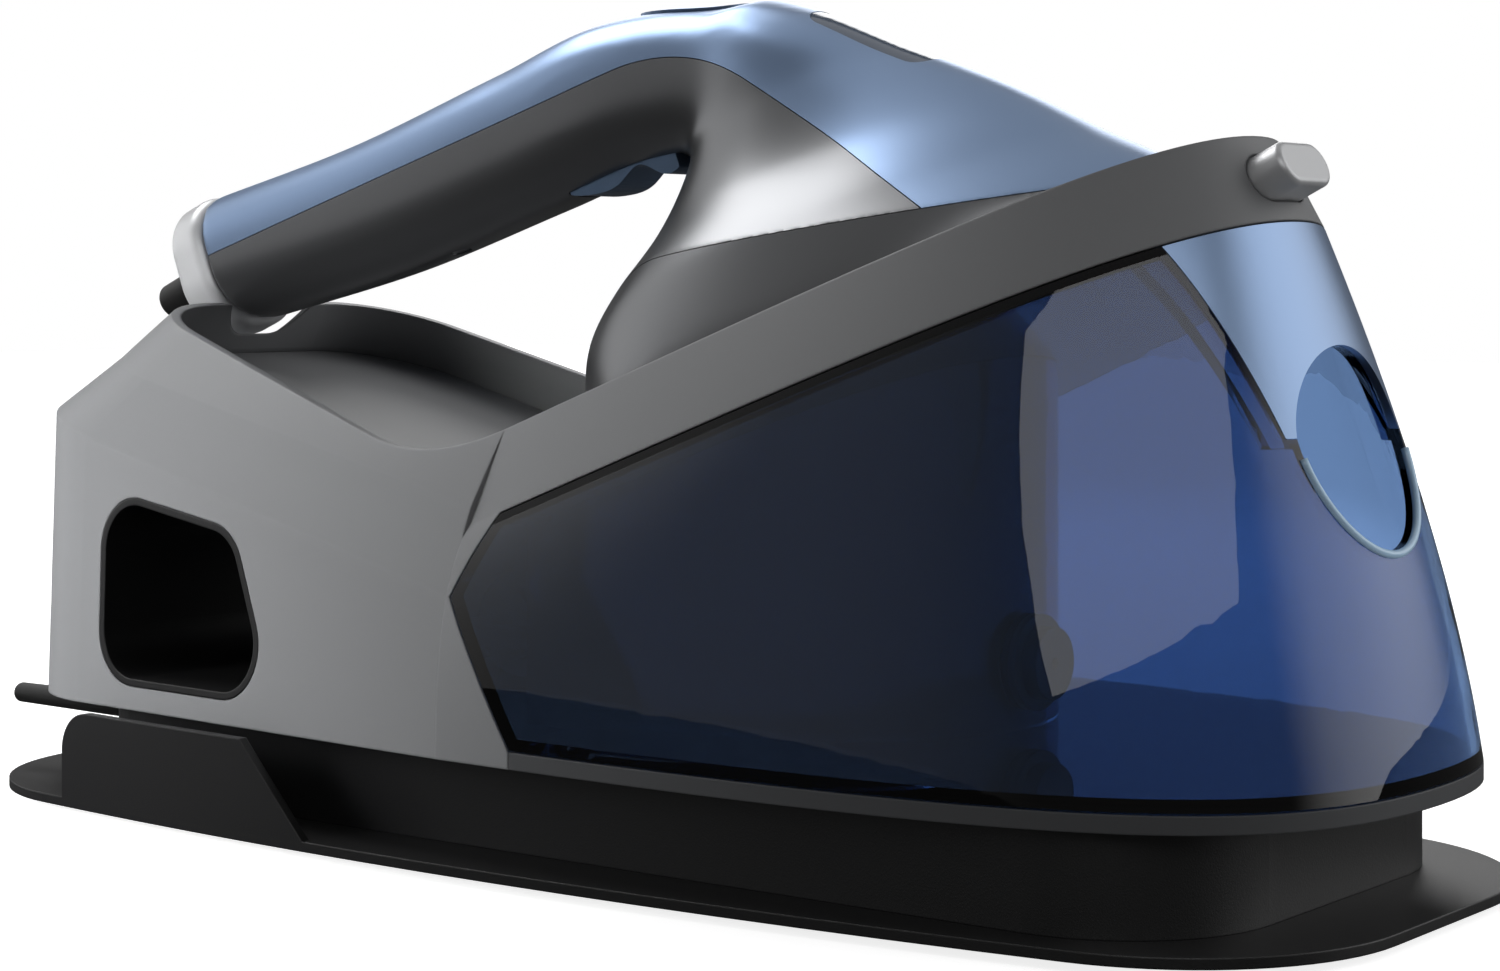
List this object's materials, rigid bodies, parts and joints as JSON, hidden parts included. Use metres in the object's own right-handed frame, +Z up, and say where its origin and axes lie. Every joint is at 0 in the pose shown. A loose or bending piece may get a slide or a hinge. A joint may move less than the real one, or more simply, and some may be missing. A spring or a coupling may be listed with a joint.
{
  "type": "steam ironing station",
  "caption": "Steam generator iron docked nose-up on a base station with a clear blue pull-off water tank, a hose bay and a carry lock.",
  "frame": {"origin": "on the floor under the middle of the base plate", "axes": "+X towards the nose of the docked iron, +Y to its left, +Z up"},
  "size_m": [0.43, 0.1948, 0.2211],
  "materials": {
    "black_plastic": "fine-grained black moulding",
    "dark_plastic": "satin dark grey moulding",
    "black_rubber": "matt",
    "housing_grey": "satin, metallic-look grey",
    "tank_blue": "clear, tinted deep blue",
    "metallic_blue": "satin metallic silver-blue lacquer on plastic",
    "gunmetal": "satin metallic-look gunmetal",
    "satin_silver": "satin silver lacquer on plastic",
    "trigger_blue": "satin blue-grey",
    "window_dark": "glossy dark inlay",
    "steel": "bright steel",
    "sole_steel": "polished soleplate",
    "cast_aluminium": "as cast",
    "brass": "turned",
    "white_plastic": "plain moulding",
    "tube_silicone": "milky silicone",
    "circuit_board": "green board"
  },
  "bodies": {
    "station": {"base_plate": "black_plastic", "rubber_feet": "black_rubber", "pedestal": "black_plastic", "station_screws": "steel", "mains_cord_boot": "black_rubber", "hose_gland": "black_rubber", "deck": "dark_plastic", "housing_screws": "steel", "upper_housing": "housing_grey", "hose_bay_liner": "black_plastic", "bulkhead": "dark_plastic", "tank_coupler": "black_plastic", "iron_rest": "black_plastic", "rest_pads": "black_rubber", "boiler_pot": "steel", "boiler_lid": "steel", "boiler_bolts": "steel", "boiler_heater": "steel", "safety_valve": "brass", "solenoid_valve": "dark_plastic", "boiler_thermostat": "brass", "water_pump": "steel", "pump_bracket": "black_rubber", "inlet_tube": "tube_silicone", "feed_tube": "tube_silicone", "steam_tube": "tube_silicone", "control_board": "circuit_board", "power_relay": "dark_plastic", "terminal_block": "white_plastic", "lock_bracket": "black_plastic", "lock_spring": "steel"},
    "tank": {"water_tank": "tank_blue", "nose_cover": "metallic_blue", "tank_valve": "dark_plastic", "tank_seal": "black_rubber"},
    "iron": {"soleplate": "sole_steel", "steam_chamber": "cast_aluminium", "iron_heater": "steel", "iron_thermostat": "brass", "iron_skirt": "gunmetal", "iron_shell": "gunmetal", "handle_cover": "metallic_blue", "indicator_window": "window_dark", "handle_end_cap": "satin_silver", "hose_boot": "black_rubber", "handle_carrier": "white_plastic", "handle_screw": "steel", "trigger_pin": "steel", "trigger_spring": "steel", "trigger_switch": "dark_plastic", "button_spring": "steel", "iron_steam_tube": "tube_silicone"},
    "trigger": {"trigger": "trigger_blue"},
    "steam_button": {"steam_button": "metallic_blue"},
    "lock_button": {"lock_button": "satin_silver"}
  },
  "joints": [
    {"name": "tank_pull", "type": "slide", "parent": "station", "child": "tank", "axis": [1, 0, 0], "range_m": [0, 0.15]},
    {"name": "iron_lift", "type": "slide", "parent": "station", "child": "iron", "axis": [-0.3714, 0, 0.9285], "range_m": [0, 0.12]},
    {"name": "trigger_pull", "type": "hinge", "parent": "iron", "child": "trigger", "pos_m": [-0.03901, 0, 0.18188], "axis": [0, -1, 0], "range_deg": [0, 5], "stiffness_Nm_per_rad": 1, "springref_deg": -2.86},
    {"name": "button_press", "type": "slide", "parent": "iron", "child": "steam_button", "axis": [0, 0, -1], "range_m": [0, 0.0015], "stiffness_N_per_m": 600, "springref_m": -0.002, "deforming": ["button_spring"]},
    {"name": "lock_press", "type": "slide", "parent": "station", "child": "lock_button", "axis": [-0.8935, 0, -0.449], "range_m": [0, 0.003], "stiffness_N_per_m": 500, "springref_m": -0.002}
  ]
}
